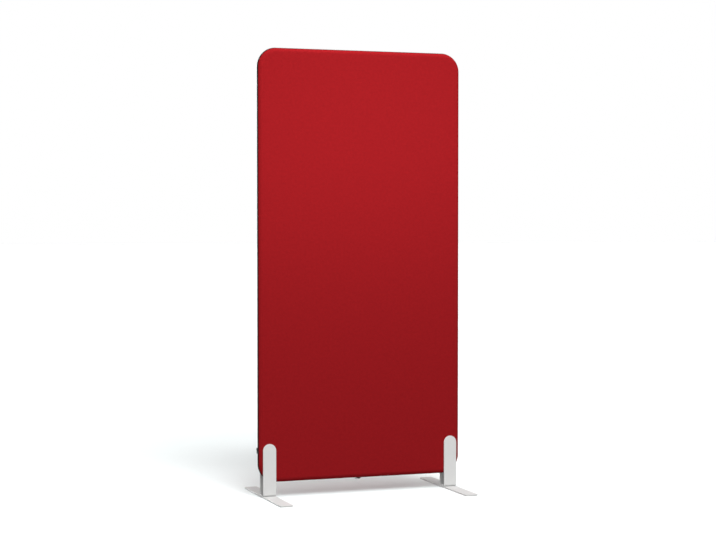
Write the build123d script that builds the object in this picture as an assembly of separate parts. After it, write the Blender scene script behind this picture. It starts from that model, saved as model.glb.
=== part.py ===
"""A free-standing acoustic divider screen.

A wooden frame with half-round edges holds two sound-absorbing cores. Wadding and two fabric
covers wrap round it and meet in the middle of the edge, where a zip runs round the screen. Two
steel feet, each a bent bracket on a flat plate, clamp the lower corners.

Lengths are in millimetres. X runs along the width, Y from the front face (-Y) to the rear face
(+Y) and Z up. The origin is on the floor, in the middle between the feet.
"""
from build123d import *
from functools import cache
from math import sqrt
import os

# The panel: its outline over the zip, and the layers that make up its depth
panel_width = 800.0
panel_height = 1600.0
corner_radius = 70.0
panel_lift = 56.0  # from the floor to the panel's lowest point
frame_depth = 26.0
layer_gap = 0.25  # between any two layers of padding
wadding_thickness = 3.5
cover_thickness = 1.0

# The wooden frame and the cores in it
member_width = 50.0
core_gap = 0.3
dowel_diameter = 8.0
dowel_length = 40.0
dowel_spacing = 24.0
dowel_gap = 0.1  # all round a dowel, and past its ends

# The zip, measured across the panel's edge from its middle plane
zip_band_half = 7.0  # from the middle to the hem of a cover
tape_reach = 11.0  # from the middle to the tape's hidden edge
tape_thickness = 0.6
parting_half = 0.5  # from the middle to the edge of each half of the zip
coil_width = 3.0
coil_rounding = 0.8
stitch_gap = 0.15  # between two layers that are sewn together
end_gap = 0.3  # between pieces that follow each other along the zip
stop_length = 3.0
stop_rise = 1.0  # how far an end stop stands above the coil
stop_width = 3.2
seam_band_half = 6.0
seam_band_thickness = 1.2

# The two sliders: where they are parked, and their body
left_slider_height = 180.0  # the left slider's middle, above the floor
bottom_slider_place = -3.0  # the bottom slider's middle, along X
slider_length = 12.0
slider_wing = 1.1
slider_gap = 0.3  # between the slider and the zip that it runs on
slider_flange = 1.1
slider_rounding = 1.6
fin_half = 0.25
fin_length = 3.5
fin_setback = 0.8
channel_gap = 0.4  # between the slider's inner wing and the wooden frame

# The loop on a slider that carries its pull tab, and the tab
loop_width = 3.0
loop_length = 8.4
loop_post = 1.5
loop_bar = 0.9
loop_space = 1.9  # room inside the loop for the tab's pin
pin_diameter = 1.1
tab_length = 16.0  # from the pin to the free end
tab_width = 7.0
tab_thickness = 1.1
tab_side_gap = 0.35
tab_window_end = 5.6  # from the pin to the end of the tab's window
tab_rounding = 1.5
tab_hole_diameter = 2.4
tab_hole_place = 12.2

# The bent brackets
bracket_width = 50.0
bracket_height = 200.0  # the round tops, above the floor
bracket_steel = 4.0
bracket_bend = 4.0  # inside radius
bracket_inset = 40.0  # from the panel's side to the bracket's middle
bracket_gap = 0.2  # between the bracket and each cover
steel_edge = 0.8  # rounding of the cut edges

# The foot plates and their pads
plate_length = 460.0
plate_width = 50.0
plate_steel = 5.0
plate_corner = 6.0
pad_length = 60.0
pad_width = 40.0
pad_thickness = 1.0
pad_inset = 12.0  # from the plate's end
pad_corner = 5.0

# Screws from the rear uprights into threaded inserts in the frame
thread_diameter = 6.0
thread_gap = 0.1  # all round a shank in its thread
screw_length = 16.0
button_diameter = 10.5
button_height = 3.3
button_rounding = 2.2
socket_across = 4.0
socket_depth = 2.0
screw_drop = 30.0  # from the bracket's top to the upper screw
screw_pitch = 75.0
clearance_hole = 6.6
cover_hole = 7.0
insert_diameter = 9.0
insert_length = 8.0
insert_gap = 0.1

# Countersunk screws from below, through the foot plate into the bracket
base_screw_pitch = 26.0
base_screw_length = 10.0
countersunk_diameter = 12.0
countersunk_height = 3.3
countersunk_gap = 0.15

overrun = 30.0  # how far a cutting block reaches past what it cuts

# Worked out from the sizes above
padding = layer_gap + wadding_thickness + layer_gap + cover_thickness
half_depth = frame_depth / 2 + padding
cover_inner = half_depth - cover_thickness
wadding_outer = cover_inner - layer_gap
wadding_inner = wadding_outer - wadding_thickness
panel_middle = panel_lift + panel_height / 2
panel_top = panel_lift + panel_height
tape_outer = cover_inner - stitch_gap  # the round stretch of a tape under its cover
tape_inner = tape_outer - tape_thickness
tape_level = half_depth - sqrt(tape_outer**2 - zip_band_half**2)  # depth of the flat stretch
wing_top = tape_level + tape_thickness + slider_gap
wing_bottom = wing_top + slider_wing
channel_level = wing_bottom + channel_gap
chain_left_end = left_slider_height - slider_length / 2 - end_gap
chain_bottom_end = bottom_slider_place - slider_length / 2 - end_gap
wing_above = slider_gap + slider_wing
pin_level = wing_above + loop_space / 2
pad_top = pad_thickness
plate_top = pad_top + plate_steel
bracket_inner_half = half_depth + bracket_gap
bracket_outer_half = bracket_inner_half + bracket_steel
bracket_middle = panel_width / 2 - bracket_inset
corner_x = panel_width / 2 - corner_radius
corner_low = panel_lift + corner_radius
corner_high = panel_top - corner_radius
member_middle = channel_level + (member_width - (channel_level - padding)) / 2
opening_inset = padding + member_width
screw_heights = (bracket_height - screw_drop, bracket_height - screw_drop - screw_pitch)

LEFT, RIGHT = -1, 1
FRONT, REAR = -1, 1


def block(x_low, x_high, y_low, y_high, z_low, z_high):
    """A box between two limits along each axis."""
    box = Box(x_high - x_low, y_high - y_low, z_high - z_low)
    return Pos((x_low + x_high) / 2, (y_low + y_high) / 2, (z_low + z_high) / 2) * box


def side_of(side, near, far):
    """A large block in front of the middle plane or behind it, from near to far of the plane."""
    y_low, y_high = sorted((side * near, side * far))
    reach = panel_width / 2 + overrun
    return block(-reach, reach, y_low, y_high, panel_lift - overrun, panel_top + overrun)


def rod(diameter, start, end):
    """A round rod from start to end."""
    run = Vector(*end) - Vector(*start)
    return Plane(origin=start, z_dir=run) * extrude(Circle(diameter / 2), run.length)


def outline(inset, depth):
    """The panel's rounded outline, drawn in by inset, as a plate about the middle plane."""
    shape = RectangleRounded(
        panel_width - 2 * inset, panel_height - 2 * inset, corner_radius - inset
    )
    return Pos(0, 0, panel_middle) * extrude(Plane.XZ * shape, depth / 2, both=True)


def strip(out_low, out_high, across_low, across_high):
    """A rectangle in a section of the edge: outward from the outline, and across the edge."""
    shape = Rectangle(out_high - out_low, across_high - across_low)
    return Pos((out_low + out_high) / 2, (across_low + across_high) / 2) * shape


def around(section):
    """Carries a section of the edge once round the panel, along its sides and corners."""
    width_run, height_run = panel_width - 2 * corner_radius, panel_height - 2 * corner_radius
    sides = (
        ((1, 0, 0), (panel_width / 2, 0, corner_low), height_run),
        ((0, 0, 1), (corner_x, 0, panel_top), width_run),
        ((-1, 0, 0), (-panel_width / 2, 0, corner_high), height_run),
        ((0, 0, -1), (-corner_x, 0, panel_lift), width_run),
    )
    ring = Part()
    for outward, start, run in sides:
        plane = Plane(origin=start, x_dir=outward, z_dir=Vector(*outward).cross(Vector(0, 1, 0)))
        turn = Axis((-corner_radius, 0, run), (0, -1, 0))
        ring += plane * (extrude(section, run) + revolve(Pos(0, 0, run) * section, turn, 90))
    return ring


@cache
def padded_slab(radius):
    """The space within radius of the middle of the panel's depth, with its half-round edge."""
    half_disc = Pos(-half_depth, 0) * Circle(radius) & strip(-half_depth, 0, -radius, radius)
    return around(half_disc) + outline(half_depth, 2 * radius)


def cover(side):
    """A fabric cover: one face, wrapped round the edge up to its hem at the zip."""
    shell = padded_slab(half_depth) - padded_slab(cover_inner)
    shell &= side_of(side, zip_band_half, half_depth + overrun)
    return shell - screw_holes(cover_hole) if side == REAR else shell


def wadding(side):
    """The soft layer under a cover. It stops where the zip's tape starts."""
    layer = padded_slab(wadding_outer) - padded_slab(wadding_inner)
    layer &= side_of(side, tape_reach + layer_gap, half_depth)
    return layer - screw_holes(cover_hole) if side == REAR else layer


def screw_places():
    """The middle of each rear screw, as (x, z)."""
    return [(end * bracket_middle, height) for end in (LEFT, RIGHT) for height in screw_heights]


def screw_holes(diameter):
    """Rods through the rear half of the panel and the rear uprights, where the screws go."""
    far = bracket_outer_half + overrun
    return Part() + [rod(diameter, (x, 0, z), (x, far, z)) for x, z in screw_places()]


def dowel_rods(diameter, length):
    """Rods across every joint of the frame, two to a joint."""
    rods = Part()
    half = length / 2
    low_z, high_z = panel_lift + member_middle, panel_top - member_middle
    for offset in (-dowel_spacing / 2, dowel_spacing / 2):
        for end in (LEFT, RIGHT):
            x = end * (panel_width / 2 - member_middle + offset)
            for z in (corner_low, corner_high):
                rods += rod(diameter, (x, 0, z - half), (x, 0, z + half))
            for z in (low_z + offset, high_z - offset):
                rods += rod(diameter, (end * corner_x - half, 0, z), (end * corner_x + half, 0, z))
            x = end * (panel_width / 2 - opening_inset)
            z = panel_middle + offset
            rods += rod(diameter, (x - half, 0, z), (x + half, 0, z))
    return rods


def frame_pieces():
    """The outer frame, cut into two stiles, two rails and four rounded corner blocks."""
    ring = padded_slab(frame_depth / 2) & outline(channel_level, frame_depth)
    ring -= outline(opening_inset, frame_depth + overrun)
    ring -= dowel_rods(dowel_diameter + 2 * dowel_gap, dowel_length + 2 * dowel_gap)
    for x, z in screw_places():
        mouth = (x, frame_depth / 2 + overrun, z)
        bottom = (x, frame_depth / 2 - insert_length - insert_gap, z)
        ring -= rod(insert_diameter + 2 * insert_gap, bottom, mouth)
    columns = {
        "left": (-panel_width, -corner_x),
        "middle": (-corner_x, corner_x),
        "right": (corner_x, panel_width),
    }
    rows = {
        "bottom": (0, corner_low),
        "middle": (corner_low, corner_high),
        "top": (corner_high, panel_top + overrun),
    }
    names = {
        ("left", "middle"): "left_stile",
        ("right", "middle"): "right_stile",
        ("middle", "bottom"): "bottom_rail",
        ("middle", "top"): "top_rail",
    }
    pieces = {}
    for column, (x_low, x_high) in columns.items():
        for row, (z_low, z_high) in rows.items():
            if (column, row) == ("middle", "middle"):
                continue
            name = names.get((column, row), f"{row}_{column}_corner_block")
            pieces[name] = ring & block(x_low, x_high, -panel_width, panel_width, z_low, z_high)
    return pieces


def middle_rail():
    """The rail between the two stiles, half way up."""
    reach = panel_width / 2 - opening_inset
    low, high = panel_middle - member_width / 2, panel_middle + member_width / 2
    rail = block(-reach, reach, -frame_depth / 2, frame_depth / 2, low, high)
    return rail - dowel_rods(dowel_diameter + 2 * dowel_gap, dowel_length + 2 * dowel_gap)


def core(upward):
    """A sound-absorbing slab that fills the frame above or below the middle rail."""
    slab = outline(opening_inset + core_gap, frame_depth)
    near = panel_middle + upward * (member_width / 2 + core_gap)
    z_low, z_high = sorted((near, near + upward * panel_height))
    return slab & block(-panel_width, panel_width, -frame_depth, frame_depth, z_low, z_high)


def zip_tape(side):
    """One half of the zip's woven tape: flat in the gap, then round the edge under the hem."""
    outer = Pos(-half_depth, 0) * Circle(tape_outer)
    outer &= strip(-half_depth, -tape_level, -tape_outer, tape_outer)
    inner = Pos(-half_depth, 0) * Circle(tape_inner)
    inner &= strip(-half_depth, -tape_level - tape_thickness, -tape_outer, tape_outer)
    across = sorted((side * parting_half, side * tape_reach))
    return around((outer - inner) & strip(-half_depth, 0, *across))


def unzipped_corner(end_left, end_bottom):
    """A block round the lower left corner, where the cover is sewn shut instead of zipped."""
    low, reach = panel_lift - overrun, panel_width / 2 + overrun
    return block(-reach, end_bottom, -half_depth, half_depth, low, end_left)


def zip_coil(side):
    """One half of the zip's teeth, as the bar that the coil fills."""
    near, far = parting_half, parting_half + coil_width
    bar = strip(-tape_level + stitch_gap, 0, *sorted((side * near, side * far)))
    bar = fillet(bar.vertices().group_by(Axis.X)[-1], coil_rounding)
    return around(bar) - unzipped_corner(chain_left_end, chain_bottom_end)


def seam_band():
    """The black band that is sewn over both tapes between the zip's two ends."""
    low = -tape_level + stitch_gap
    band = strip(low, low + seam_band_thickness, -seam_band_half, seam_band_half)
    past = stop_length + end_gap
    return around(band) & unzipped_corner(chain_left_end - past, chain_bottom_end - past)


def zip_stops():
    """The four clamped stops: one on each half of the zip, at each of its ends."""
    low = -tape_level + stitch_gap
    stops = Part()
    for side in (FRONT, REAR):
        near, far = sorted((side * parting_half, side * (parting_half + stop_width)))
        ring = around(strip(low, stop_rise, near, far))
        stops += ring & unzipped_corner(chain_left_end, chain_bottom_end)
    past = unzipped_corner(chain_left_end - stop_length, chain_bottom_end - stop_length)
    return stops - past


def slider_body():
    """A slider on its own plane: X along the zip towards its end, Y across it, Z outward.

    An outer and an inner wing are joined by a thin fin that runs between the zip's halves.
    Flanges at the sides hold the coils, and a loop on the outer wing carries the pull tab.
    """
    half = slider_length / 2
    flange_in = parting_half + coil_width + slider_gap
    flange_out = flange_in + slider_flange
    low = -tape_level + slider_gap
    outer = block(-half, half, -flange_out, flange_out, low, wing_above)
    outer = fillet(outer.edges().filter_by(Axis.Z), slider_rounding)
    outer -= block(-slider_length, slider_length, -flange_in, flange_in, -overrun, slider_gap)
    inner = block(-half, half, -flange_in, flange_in, -wing_bottom, -wing_top)
    inner = fillet(inner.edges().filter_by(Axis.Z), slider_rounding)
    fin_end = half - fin_setback
    fin = block(fin_end - fin_length, fin_end, -fin_half, fin_half, -wing_top, slider_gap)
    post, wide, top = loop_length / 2, loop_width / 2, wing_above + loop_space
    loop = block(-post, post, -wide, wide, wing_above, top + loop_bar)
    loop -= block(loop_post - post, post - loop_post, -wide, wide, wing_above, top)
    loop = fillet(loop.edges().filter_by(Axis.Y).group_by(Axis.Z)[-1], loop_bar / 2)
    return outer + inner + fin + loop


def pull_tab():
    """A pull tab on the slider's plane, lying flat along X, with its pin through the loop."""
    half_width, half_steel = tab_width / 2, tab_thickness / 2
    window_half = loop_width / 2 + tab_side_gap
    tab = block(-half_steel, tab_length, -half_width, half_width, -half_steel, half_steel)
    tab = fillet(tab.edges().filter_by(Axis.Z).group_by(Axis.X)[-1], tab_rounding)
    tab -= block(-overrun, tab_window_end, -window_half, window_half, -overrun, overrun)
    tab -= rod(tab_hole_diameter, (tab_hole_place, 0, -overrun), (tab_hole_place, 0, overrun))
    tab += rod(pin_diameter, (0, -half_width, 0), (0, half_width, 0))
    return Pos(0, 0, pin_level) * tab


def left_place(piece):
    """Puts a piece from the slider's plane onto the left edge, its tab hanging down."""
    origin = (-panel_width / 2, 0, left_slider_height)
    return Plane(origin=origin, x_dir=(0, 0, -1), z_dir=(-1, 0, 0)) * piece


def bottom_place(piece):
    """Puts a piece from the slider's plane onto the bottom edge, its tab pointing to -X."""
    origin = (bottom_slider_place, 0, panel_lift)
    return Plane(origin=origin, x_dir=(-1, 0, 0), z_dir=(0, 0, -1)) * piece


def bracket(end):
    """A steel strip bent to a U, with round tops. It stands on the foot plate."""
    x = end * bracket_middle
    reach = bracket_width / 2
    outer_bend = bracket_bend + bracket_steel
    tall = bracket_height - plate_top + overrun
    outer = block(x - reach, x + reach, -bracket_outer_half, bracket_outer_half, 0, tall)
    outer = fillet(outer.edges().filter_by(Axis.X).group_by(Axis.Z)[0], outer_bend)
    low, wide = bracket_steel, x + reach + overrun
    inner = block(
        x - reach - overrun, wide, -bracket_inner_half, bracket_inner_half, low, tall + overrun
    )
    inner = fillet(inner.edges().filter_by(Axis.X).group_by(Axis.Z)[0], bracket_bend)
    straight = bracket_height - plate_top - reach
    front_view = Pos(x, straight / 2) * Rectangle(bracket_width, straight)
    front_view += Pos(x, straight) * Circle(reach)
    strip_bent = (outer - inner) & extrude(Plane.XZ * front_view, bracket_outer_half, both=True)
    strip_bent = Pos(0, 0, plate_top) * fillet(strip_bent.edges(), steel_edge)
    strip_bent -= screw_holes(clearance_hole)
    return strip_bent - base_screw_holes(end, thread_diameter + 2 * thread_gap)


def base_screw_xs(end):
    """The places along X of the two screws under one foot."""
    x = end * bracket_middle
    return (x - base_screw_pitch / 2, x + base_screw_pitch / 2)


def base_screw_holes(end, diameter):
    """Rods up through one foot plate and its bracket."""
    top = plate_top + bracket_steel + overrun
    return Part() + [rod(diameter, (x, 0, 0), (x, 0, top)) for x in base_screw_xs(end)]


def countersink(x, gap):
    """The cone of a countersunk head at x, grown by gap all round, with its flat at the bottom."""
    wide, narrow = countersunk_diameter / 2 + gap, thread_diameter / 2 + gap
    cone = Cone(wide, narrow, countersunk_height)
    return Pos(x, 0, pad_top + countersunk_height / 2) * cone


def foot_plate(end):
    """A flat bar along the depth, with countersunk holes in its underside."""
    shape = RectangleRounded(plate_width, plate_length, plate_corner)
    plate = Pos(end * bracket_middle, 0, pad_top) * extrude(shape, plate_steel)
    top_edges = plate.edges().group_by(Axis.Z)[-1]
    plate = fillet(top_edges, steel_edge)
    plate -= base_screw_holes(end, thread_diameter + 2 * countersunk_gap)
    for x in base_screw_xs(end):
        plate -= countersink(x, countersunk_gap)
    return plate


def base_screws():
    """The countersunk screws under both feet."""
    screws = Part()
    for end in (LEFT, RIGHT):
        for x in base_screw_xs(end):
            screw = rod(thread_diameter, (x, 0, pad_top), (x, 0, pad_top + base_screw_length))
            socket = RegularPolygon(socket_across / 2, 6, major_radius=False)
            screws += screw + countersink(x, 0) - Pos(x, 0, pad_top) * extrude(socket, socket_depth)
    return screws


def bracket_screws():
    """The button-head screws through the rear uprights."""
    screws = Part()
    seat = bracket_outer_half
    for x, z in screw_places():
        shank = rod(thread_diameter, (x, seat - screw_length, z), (x, seat, z))
        head = rod(button_diameter, (x, seat, z), (x, seat + button_height, z))
        head = fillet(head.edges().group_by(Axis.Y)[-1], button_rounding)
        socket = RegularPolygon(socket_across / 2, 6, major_radius=False)
        socket_plane = Plane(origin=(x, seat + button_height, z), z_dir=(0, -1, 0))
        screws += shank + head - socket_plane * extrude(socket, socket_depth)
    return screws


def threaded_inserts():
    """The metal sleeves in the frame that the rear screws turn into."""
    inserts = Part()
    mouth = frame_depth / 2
    for x, z in screw_places():
        sleeve = rod(insert_diameter, (x, mouth - insert_length, z), (x, mouth, z))
        inserts += sleeve - rod(thread_diameter + 2 * thread_gap, (x, 0, z), (x, mouth, z))
    return inserts


def floor_pads(end):
    """The two rubber pads under one foot plate, near its ends."""
    pads = Part()
    for side in (FRONT, REAR):
        y = side * (plate_length / 2 - pad_inset - pad_length / 2)
        shape = RectangleRounded(pad_width, pad_length, pad_corner)
        pads += Pos(end * bracket_middle, y, 0) * extrude(shape, pad_thickness)
    return pads


def all_pieces():
    """Every piece of the screen, by name."""
    pieces = frame_pieces()
    pieces["middle_rail"] = middle_rail()
    pieces["frame_dowels"] = dowel_rods(dowel_diameter, dowel_length)
    pieces["upper_core"] = core(1)
    pieces["lower_core"] = core(-1)
    for name, side in (("front", FRONT), ("rear", REAR)):
        pieces[f"{name}_cover"] = cover(side)
        pieces[f"{name}_wadding"] = wadding(side)
        pieces[f"{name}_zip_tape"] = zip_tape(side)
        pieces[f"{name}_zip_coil"] = zip_coil(side)
    pieces["zip_seam_band"] = seam_band()
    pieces["zip_stops"] = zip_stops()
    for name, place in (("left", left_place), ("bottom", bottom_place)):
        pieces[f"{name}_zip_slider"] = place(slider_body())
        pieces[f"{name}_pull_tab"] = place(pull_tab())
    for name, end in (("left", LEFT), ("right", RIGHT)):
        pieces[f"{name}_bracket"] = bracket(end)
        pieces[f"{name}_foot_plate"] = foot_plate(end)
        pieces[f"{name}_floor_pads"] = floor_pads(end)
    pieces["threaded_inserts"] = threaded_inserts()
    pieces["bracket_screws"] = bracket_screws()
    pieces["foot_plate_screws"] = base_screws()
    return pieces


os.makedirs("parts", exist_ok=True)
for name, piece in all_pieces().items():
    export_step(piece, f"parts/{name}.step")
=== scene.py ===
"""The looks of a free-standing acoustic divider screen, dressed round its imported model.

Lengths are in metres. X runs along the width, -Y is the front and Z is up, as in the frame.
The covers, waddings, cores, zip tapes, coils and stitches are surfaces worked out here. The
steel feet, the screws, the sliders and the timber stay the frame's own solids, with a finish.
"""
import logging
import math
from dataclasses import dataclass, replace
from enum import Enum
from functools import cache, cached_property
from typing import NamedTuple

import bpy
import numpy as np
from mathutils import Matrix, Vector


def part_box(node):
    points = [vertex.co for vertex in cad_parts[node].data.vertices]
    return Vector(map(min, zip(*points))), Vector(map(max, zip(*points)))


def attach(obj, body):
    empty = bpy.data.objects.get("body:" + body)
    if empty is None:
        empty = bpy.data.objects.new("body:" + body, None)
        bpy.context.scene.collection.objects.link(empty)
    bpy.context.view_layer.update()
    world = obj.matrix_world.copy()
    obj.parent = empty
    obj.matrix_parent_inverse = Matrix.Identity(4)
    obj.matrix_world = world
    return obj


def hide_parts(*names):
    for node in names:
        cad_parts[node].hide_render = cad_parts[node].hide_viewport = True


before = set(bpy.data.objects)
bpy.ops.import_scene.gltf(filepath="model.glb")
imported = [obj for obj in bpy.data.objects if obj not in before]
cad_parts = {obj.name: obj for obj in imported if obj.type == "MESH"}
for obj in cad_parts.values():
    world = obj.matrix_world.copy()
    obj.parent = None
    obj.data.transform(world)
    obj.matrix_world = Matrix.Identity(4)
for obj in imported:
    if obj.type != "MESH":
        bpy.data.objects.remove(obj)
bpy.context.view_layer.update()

MM = 0.001
QUARTER_TURN = math.pi / 2
FULL_TURN = 2 * math.pi
CLOTH_MAP = "cloth_metres"
SCREEN = "screen"

# A band texture with a scale of one turns by this many radians in a metre.
BAND_TURN = 20.0

# Where the outline's direction changes by less, it runs straight.
SAME_ANGLE = 1e-6

# The knot of the outline at which its left side starts, on its way down.
LEFT_SIDE = 6

log = logging.getLogger("screen")


class Side(Enum):
    """A half of the panel, in front of its middle plane or behind it."""

    FRONT = -1
    REAR = 1

    @property
    def word(self) -> str:
        """The side's name, as the pieces have it."""
        return self.name.lower()


class Core(Enum):
    """A felt core of the panel, above or below its middle rail."""

    UPPER = "upper"
    LOWER = "lower"


class Grain(Enum):
    """The way that the grain of a timber piece runs, as the scale of its pattern on each axis."""

    UPRIGHT = (1.0, 1.0, 0.04)
    LEVEL = (0.04, 1.0, 1.0)


def linear(hex_colour: str) -> tuple[float, float, float, float]:
    """Turns a colour as printed into the light that the renderer works with, by the sRGB curve.

    Args:
        hex_colour: an sRGB colour such as "#9A161B".
    Returns:
        The linear red, green and blue, and an alpha of one.
    """
    parts = np.array([int(hex_colour[i:i + 2], 16) for i in (1, 3, 5)]) / 255
    light = np.where(parts <= 0.04045, parts / 12.92, ((parts + 0.055) / 1.055) ** 2.4)
    return (*(float(x) for x in light), 1.0)


def add_node(tree: bpy.types.NodeTree, kind: str, inputs: dict | None = None,
             **settings: object) -> bpy.types.Node:
    """Adds one node to a material, with its settings and its links.

    Args:
        tree: the material's node tree.
        kind: the node's type name, without the words that all shader nodes' names start with.
        inputs: for an input's name or number, a value, a socket, or a node whose output feeds it.
        **settings: the node's own properties.
    Returns:
        The new node.
    """
    node = tree.nodes.new(f"ShaderNode{kind}")
    for name, value in settings.items():
        setattr(node, name, value)
    for key, value in (inputs or {}).items():
        open_inputs = [s for s in node.inputs if s.enabled and s.name == key]
        socket = node.inputs[key] if isinstance(key, int) else open_inputs[0]
        if isinstance(value, bpy.types.Node):
            value = next(s for s in value.outputs if s.enabled)
        if isinstance(value, bpy.types.NodeSocket):
            tree.links.new(value, socket)
        else:
            socket.default_value = value
    return node


@dataclass(frozen=True)
class Finish:
    """What every finish has: the material's name, its slot in the record and its roughness."""

    name: str
    slot: str
    roughness: float

    def surface(self, tree: bpy.types.NodeTree) -> dict[str, object]:
        """Adds this finish's own pattern to a material.

        Args:
            tree: the material's node tree.
        Returns:
            For each input of the surface shader that the finish sets, its value or its node.
        """
        raise NotImplementedError


@cache
def material_of(finish: Finish) -> bpy.types.Material:
    """Builds the material of a finish once, and hands the same one out again.

    Args:
        finish: the finish.
    Returns:
        Its material.
    """
    material = bpy.data.materials.new(finish.name)
    material.use_nodes = True
    tree = material.node_tree
    tree.nodes.clear()
    inputs = {"Roughness": finish.roughness} | finish.surface(tree)
    shader = add_node(tree, "BsdfPrincipled", inputs)
    add_node(tree, "OutputMaterial", {"Surface": shader})
    return material


def wave_scale(period: float) -> float:
    """The scale that repeats a band texture once in a period, in metres."""
    return FULL_TURN / (BAND_TURN * period)


def two_tone(tree: bpy.types.NodeTree, share: bpy.types.Node, tones: tuple[str, str],
             height: bpy.types.Node | None, depth: float = 0.0,
             strength: float = 1.0) -> dict[str, object]:
    """The shader inputs of a surface in two tones, with a relief.

    Args:
        tree: the material's node tree.
        share: the node that mixes the tones.
        tones: the colours at a share of zero and of one.
        height: the node that gives the relief, or None on a smooth surface.
        depth: how deep the relief is.
        strength: how fully it is drawn.
    Returns:
        The node for the colour and, where there is a relief, the one for the normal.
    """
    low, high = (linear(tone) for tone in tones)
    inputs = {"Base Color": add_node(tree, "Mix", {
        "Factor": share, "A": low, "B": high}, data_type="RGBA")}
    if height is not None:
        inputs["Normal"] = add_node(tree, "Bump", {
            "Height": height, "Distance": depth, "Strength": strength})
    return inputs


@dataclass(frozen=True)
class WovenCloth(Finish):
    """Polyester screen cloth, woven from two-ply yarn and piece dyed.

    The yarn crowns give a soft, even face with no gloss, and the loose fibres on them catch
    light that comes over an edge, which makes the rim of the panel paler than its face.

    Attributes:
        tones: the colours in the hollows of the weave, darker there as painted shade, and on its
            crowns.
        yarn: the spacing of the yarns.
        mottle: the size of the patches that took the dye a little differently.
        crown: how far a yarn stands out.
        fuzz: how much light the loose fibres catch.
        fuzz_tint: the colour of that light.
        fuzz_spread: how widely they scatter it.
        gloss: how much the yarns themselves reflect.
        crispness: how fully the relief is drawn.
        stray: how far a yarn strays from its line, in spacings.
        stray_run: the length over which it strays, in spacings.
        dip: how far a yarn's height falls at the crossings beside it, as a share.
        fibre: the size of a loose fibre, in spacings.
        fibre_lift: what the fibres add to the relief, as a share of it.
        blotches: the share that the patches have in the tone.
        levels: the mixture of weave and patches at which each tone is pure.
    """

    tones: tuple[str, str]
    yarn: float
    mottle: float
    crown: float
    fuzz: float
    fuzz_tint: str
    fuzz_spread: float
    gloss: float
    crispness: float = 0.7
    stray: float = 0.3
    stray_run: float = 12.5
    dip: float = 0.55
    fibre: float = 0.2
    fibre_lift: float = 0.3
    blotches: float = 0.5
    levels: tuple[float, float] = (0.2, 0.8)

    def surface(self, tree: bpy.types.NodeTree) -> dict[str, object]:
        """Adds a plain weave, the fibres on its yarns, a slow drift of the dye and painted shade
        in the weave's hollows.

        Each yarn is a wave across its own way, and where it floats over the other set that
        wave is multiplied by the other's, raised so that it only dips. The squares of a
        checker choose which set floats.

        Args:
            tree: the material's node tree.
        Returns:
            The shader's inputs.
        """
        cloth = add_node(tree, "UVMap", uv_map=CLOTH_MAP)
        uneven = add_node(tree, "TexNoise", {
            "Vector": cloth, "Scale": 1 / (self.stray_run * self.yarn), "Detail": 2.0})
        drift = add_node(tree, "VectorMath", {
            0: uneven.outputs["Color"], 1: (self.stray * self.yarn,) * 3, 2: cloth},
            operation="MULTIPLY_ADD")
        warp, weft = (add_node(tree, "TexWave", {
            "Vector": drift, "Scale": wave_scale(self.yarn)}, bands_direction=way)
            for way in ("X", "Y"))
        over = add_node(tree, "TexChecker", {"Vector": drift, "Scale": 1 / self.yarn})
        floats = []
        for yarn, crossing in ((warp, weft), (weft, warp)):
            arch = add_node(tree, "Math", {
                0: crossing.outputs["Fac"], 1: self.dip, 2: 1 - self.dip},
                operation="MULTIPLY_ADD")
            floats.append(add_node(tree, "Math", {
                0: arch, 1: yarn.outputs["Fac"]}, operation="MULTIPLY"))
        weave = add_node(tree, "Mix", {
            "Factor": over.outputs["Fac"], "A": floats[0], "B": floats[1]}, data_type="FLOAT")
        fibres = add_node(tree, "TexNoise", {
            "Vector": cloth, "Scale": 1 / (self.fibre * self.yarn), "Detail": 2.0,
            "Roughness": 0.6})
        height = add_node(tree, "Math", {
            0: fibres, 1: self.fibre_lift, 2: weave}, operation="MULTIPLY_ADD")
        patches = add_node(tree, "TexNoise", {
            "Vector": cloth, "Scale": 1 / self.mottle, "Detail": 3.0})
        # The colour follows the weave's height: the hollows between the yarns get the darker tone
        # as painted shade, mixed half and half with real patches of dye.
        tone = add_node(tree, "Mix", {
            "Factor": self.blotches, "A": height, "B": patches}, data_type="FLOAT")
        tone = add_node(tree, "MapRange", {
            "Value": tone, "From Min": self.levels[0], "From Max": self.levels[1]})
        return two_tone(tree, tone, self.tones, height, self.crown, self.crispness) | {
            "Sheen Weight": self.fuzz, "Sheen Roughness": self.fuzz_spread,
            "Sheen Tint": linear(self.fuzz_tint), "Specular IOR Level": self.gloss}


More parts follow.
